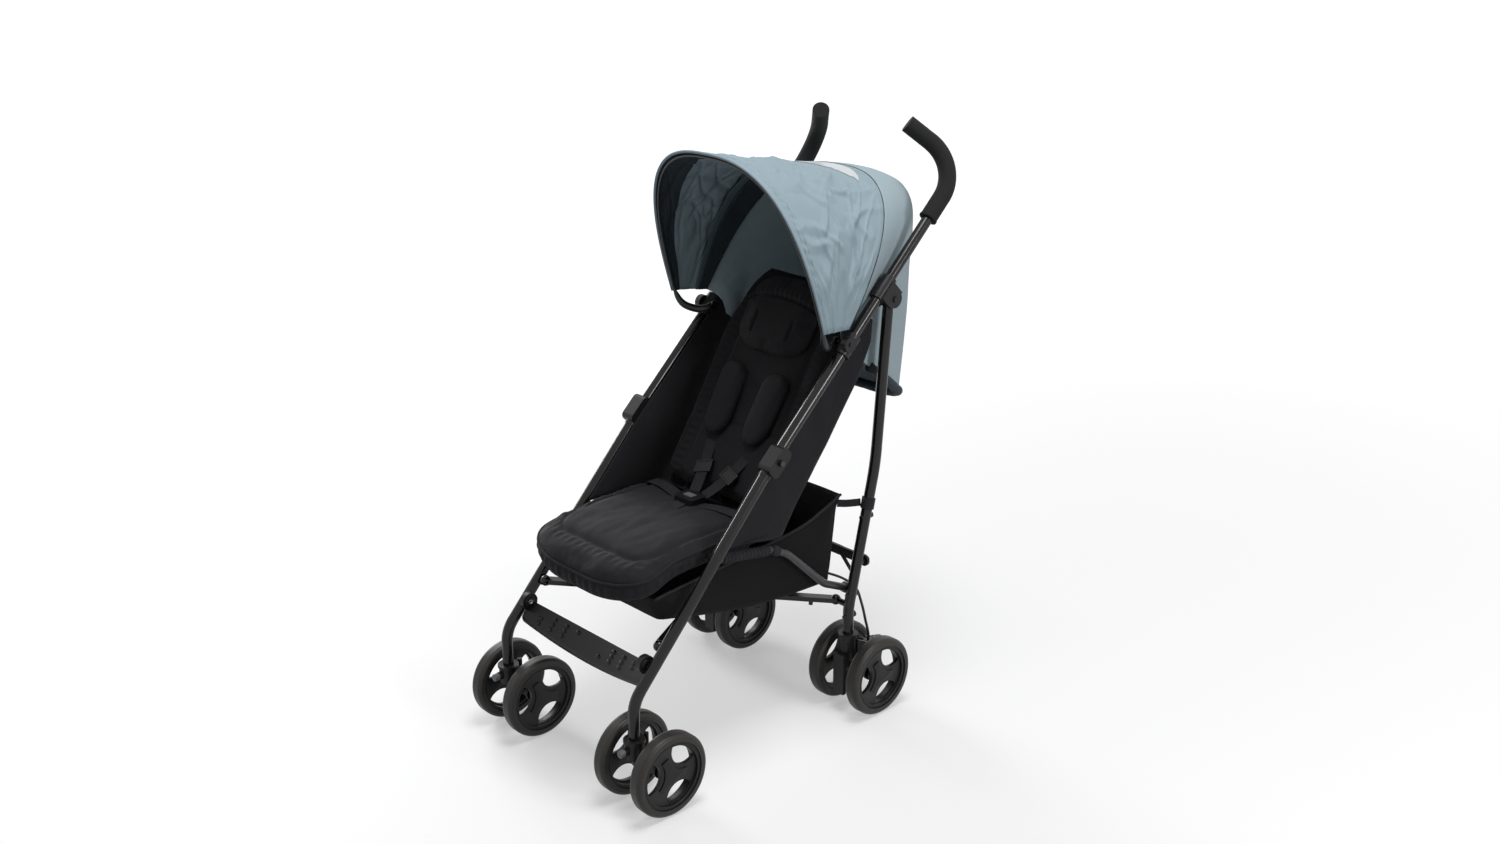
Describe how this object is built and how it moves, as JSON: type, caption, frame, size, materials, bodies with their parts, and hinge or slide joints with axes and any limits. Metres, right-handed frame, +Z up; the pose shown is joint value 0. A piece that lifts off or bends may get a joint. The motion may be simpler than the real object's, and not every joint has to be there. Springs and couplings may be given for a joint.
{
  "type": "umbrella_stroller",
  "caption": "Folding umbrella stroller with twin swivel front wheels, foam hook grips, padded reclining seat, harness, sun canopy, footrest and under-seat basket.",
  "frame": {"origin": "middle of the footprint, on the floor", "axes": "+Z up, -Y towards the front wheels, +X towards the sitter's left"},
  "size_m": [0.489, 0.8105, 1.0774],
  "materials": {
    "frame_paint": "satin black brown paint on steel tube",
    "grip_foam": "matt foam",
    "black_plastic": "fine grained moulding",
    "grey_plastic": "matt moulding",
    "tyre_foam": "smooth satin foam tyre",
    "rim_plastic": "fine grained moulding",
    "steel": "plated",
    "bar_metal": "satin grey",
    "cable_sheath": "smooth sheath",
    "black_cloth": "plain weave",
    "webbing": "ribbed webbing",
    "canopy_cloth": "coated plain weave",
    "bow_steel": "dark spring wire"
  },
  "bodies": {
    "seat": {"seat_base": "black_cloth", "seat_pad": "black_cloth", "side_wings": "black_cloth", "basket": "black_cloth", "footrest": "black_plastic", "canopy_rear": "canopy_cloth", "lap_straps": "webbing", "buckle": "black_plastic"},
    "back": {"back_cushion": "black_cloth", "headrest": "black_cloth", "shoulder_pads": "black_cloth", "shoulder_straps": "webbing", "strap_sliders": "black_plastic"},
    "button": {"buckle_button": "grey_plastic"},
    "canopy": {"canopy_front": "canopy_cloth", "front_bow": "bow_steel"},
    "side_r": {"handle_tube_r": "frame_paint", "grip_r": "grip_foam", "upper_bracket_r": "black_plastic", "canopy_clip_r": "black_plastic", "mid_joint_r": "black_plastic", "front_leg_r": "frame_paint"},
    "caster_r": {"caster_r": "black_plastic"},
    "lock_r": {"swivel_lock_r": "grey_plastic"},
    "front_wheels_r": {"front_tyres_r": "tyre_foam", "front_rims_r": "rim_plastic", "front_axle_r": "steel"},
    "rear_r": {"rear_leg_r": "frame_paint", "rear_housing_r": "black_plastic", "brake_cable": "cable_sheath"},
    "rear_wheels_r": {"rear_tyres_r": "tyre_foam", "rear_rims_r": "rim_plastic", "rear_axle_r": "steel"},
    "pedal_r": {"brake_pedal_r": "grey_plastic"},
    "bar_r": {"rear_bar_r": "black_plastic"},
    "cross_r": {"cross_bar_r": "frame_paint"},
    "seatbar_r": {"seat_bar_r": "bar_metal"},
    "side_l": {"handle_tube_l": "frame_paint", "grip_l": "grip_foam", "upper_bracket_l": "black_plastic", "canopy_clip_l": "black_plastic", "mid_joint_l": "black_plastic", "front_leg_l": "frame_paint"},
    "caster_l": {"caster_l": "black_plastic"},
    "lock_l": {"swivel_lock_l": "grey_plastic"},
    "front_wheels_l": {"front_tyres_l": "tyre_foam", "front_rims_l": "rim_plastic", "front_axle_l": "steel"},
    "rear_l": {"rear_leg_l": "frame_paint", "rear_housing_l": "black_plastic"},
    "rear_wheels_l": {"rear_tyres_l": "tyre_foam", "rear_rims_l": "rim_plastic", "rear_axle_l": "steel"},
    "pedal_l": {"brake_pedal_l": "grey_plastic"},
    "bar_l": {"rear_bar_l": "black_plastic"},
    "cross_l": {"cross_bar_l": "frame_paint"},
    "seatbar_l": {"seat_bar_l": "bar_metal"},
    "lever": {"fold_lever": "grey_plastic"}
  },
  "joints": [
    {"name": "fold", "type": "hinge", "parent": "side_r", "child": "rear_r", "pos_m": [0.181, 0.236, 0.78], "axis": [-1, 0, 0], "range_deg": [0, 30], "deforming": ["seat_base", "seat_pad", "side_wings", "basket", "footrest", "canopy_rear", "canopy_front", "front_bow", "lap_straps", "shoulder_straps", "strap_sliders", "back_cushion", "headrest", "shoulder_pads", "brake_cable", "buckle", "buckle_button"]},
    {"name": "fold_l", "type": "hinge", "parent": "side_l", "child": "rear_l", "pos_m": [-0.181, 0.236, 0.78], "axis": [-1, 0, 0], "range_deg": [0, 30]},
    {"name": "side_slide_r", "type": "slide", "parent": "seat", "child": "side_r", "axis": [-1, 0, 0], "range_m": [0, 0.095]},
    {"name": "caster_swivel_r", "type": "hinge", "parent": "side_r", "child": "caster_r", "pos_m": [0.181, -0.359, 0.12], "axis": [0, 0, 1], "continuous": true},
    {"name": "swivel_lock_r", "type": "slide", "parent": "caster_r", "child": "lock_r", "axis": [0, -1, 0], "range_m": [0, 0.004]},
    {"name": "front_wheels_spin_r", "type": "hinge", "parent": "caster_r", "child": "front_wheels_r", "pos_m": [0.181, -0.327, 0.075], "axis": [1, 0, 0], "continuous": true},
    {"name": "rear_wheels_spin_r", "type": "hinge", "parent": "rear_r", "child": "rear_wheels_r", "pos_m": [0.181, 0.181, 0.075], "axis": [1, 0, 0], "continuous": true},
    {"name": "seat_bar_turn_r", "type": "hinge", "parent": "rear_r", "child": "seatbar_r", "pos_m": [0.162, 0.163, 0.236], "axis": [-1, 0, 0], "range_deg": [0, 58]},
    {"name": "rear_bar_turn_r", "type": "hinge", "parent": "rear_r", "child": "bar_r", "pos_m": [0.181, 0.1894, 0.29], "axis": [0, 1, 0], "range_deg": [0, 61]},
    {"name": "cross_bar_turn_r", "type": "hinge", "parent": "rear_r", "child": "cross_r", "pos_m": [0.143, 0.155, 0.2081], "axis": [-0.8275, 0.5561, -0.0779], "range_deg": [0, 87.18]},
    {"name": "side_slide_l", "type": "slide", "parent": "seat", "child": "side_l", "axis": [1, 0, 0], "range_m": [0, 0.095]},
    {"name": "caster_swivel_l", "type": "hinge", "parent": "side_l", "child": "caster_l", "pos_m": [-0.181, -0.359, 0.12], "axis": [0, 0, 1], "continuous": true},
    {"name": "swivel_lock_l", "type": "slide", "parent": "caster_l", "child": "lock_l", "axis": [0, -1, 0], "range_m": [0, 0.004]},
    {"name": "front_wheels_spin_l", "type": "hinge", "parent": "caster_l", "child": "front_wheels_l", "pos_m": [-0.181, -0.327, 0.075], "axis": [1, 0, 0], "continuous": true},
    {"name": "rear_wheels_spin_l", "type": "hinge", "parent": "rear_l", "child": "rear_wheels_l", "pos_m": [-0.181, 0.181, 0.075], "axis": [1, 0, 0], "continuous": true},
    {"name": "seat_bar_turn_l", "type": "hinge", "parent": "rear_l", "child": "seatbar_l", "pos_m": [-0.162, 0.163, 0.236], "axis": [-1, 0, 0], "range_deg": [0, 58]},
    {"name": "rear_bar_turn_l", "type": "hinge", "parent": "rear_l", "child": "bar_l", "pos_m": [-0.181, 0.1894, 0.29], "axis": [0, -1, 0], "range_deg": [0, 61]},
    {"name": "cross_bar_turn_l", "type": "hinge", "parent": "rear_l", "child": "cross_l", "pos_m": [-0.143, 0.155, 0.1959], "axis": [-0.8275, -0.5561, 0.0779], "range_deg": [0, 79.18]},
    {"name": "brake", "type": "hinge", "parent": "rear_r", "child": "pedal_r", "pos_m": [0.181, 0.207, 0.112], "axis": [-1, 0, 0], "range_deg": [0, 18]},
    {"name": "brake_l", "type": "hinge", "parent": "rear_l", "child": "pedal_l", "pos_m": [-0.181, 0.207, 0.112], "axis": [-1, 0, 0], "range_deg": [0, 18]},
    {"name": "fold_release", "type": "hinge", "parent": "bar_l", "child": "lever", "pos_m": [-0.034, 0.2119, 0.29], "axis": [1, 0, 0], "range_deg": [0, 25]},
    {"name": "canopy_turn", "type": "hinge", "parent": "seat", "child": "canopy", "pos_m": [0, 0.125, 0.719], "axis": [1, 0, 0], "range_deg": [0, 20]},
    {"name": "recline", "type": "hinge", "parent": "seat", "child": "back", "pos_m": [0, -0.008, 0.396], "axis": [-1, 0, 0], "range_deg": [0, 8]},
    {"name": "buckle_press", "type": "slide", "parent": "seat", "child": "button", "axis": [0, 0, -1], "range_m": [0, 0.002], "stiffness_N_per_m": 800, "springref_m": -0.001}
  ],
  "couplings": [
    {"joint": "fold_l", "follows": "fold", "ratio": 1},
    {"joint": "side_slide_r", "follows": "fold", "m_per_rad": 0.18144},
    {"joint": "seat_bar_turn_r", "follows": "fold", "ratio": 1.9333},
    {"joint": "rear_bar_turn_r", "follows": "fold", "ratio": 2.0333},
    {"joint": "cross_bar_turn_r", "follows": "fold", "ratio": 2.9061},
    {"joint": "side_slide_l", "follows": "fold", "m_per_rad": 0.18144},
    {"joint": "seat_bar_turn_l", "follows": "fold", "ratio": 1.9333},
    {"joint": "rear_bar_turn_l", "follows": "fold", "ratio": 2.0333},
    {"joint": "cross_bar_turn_l", "follows": "fold", "ratio": 2.6395},
    {"joint": "brake_l", "follows": "brake", "ratio": 1}
  ]
}
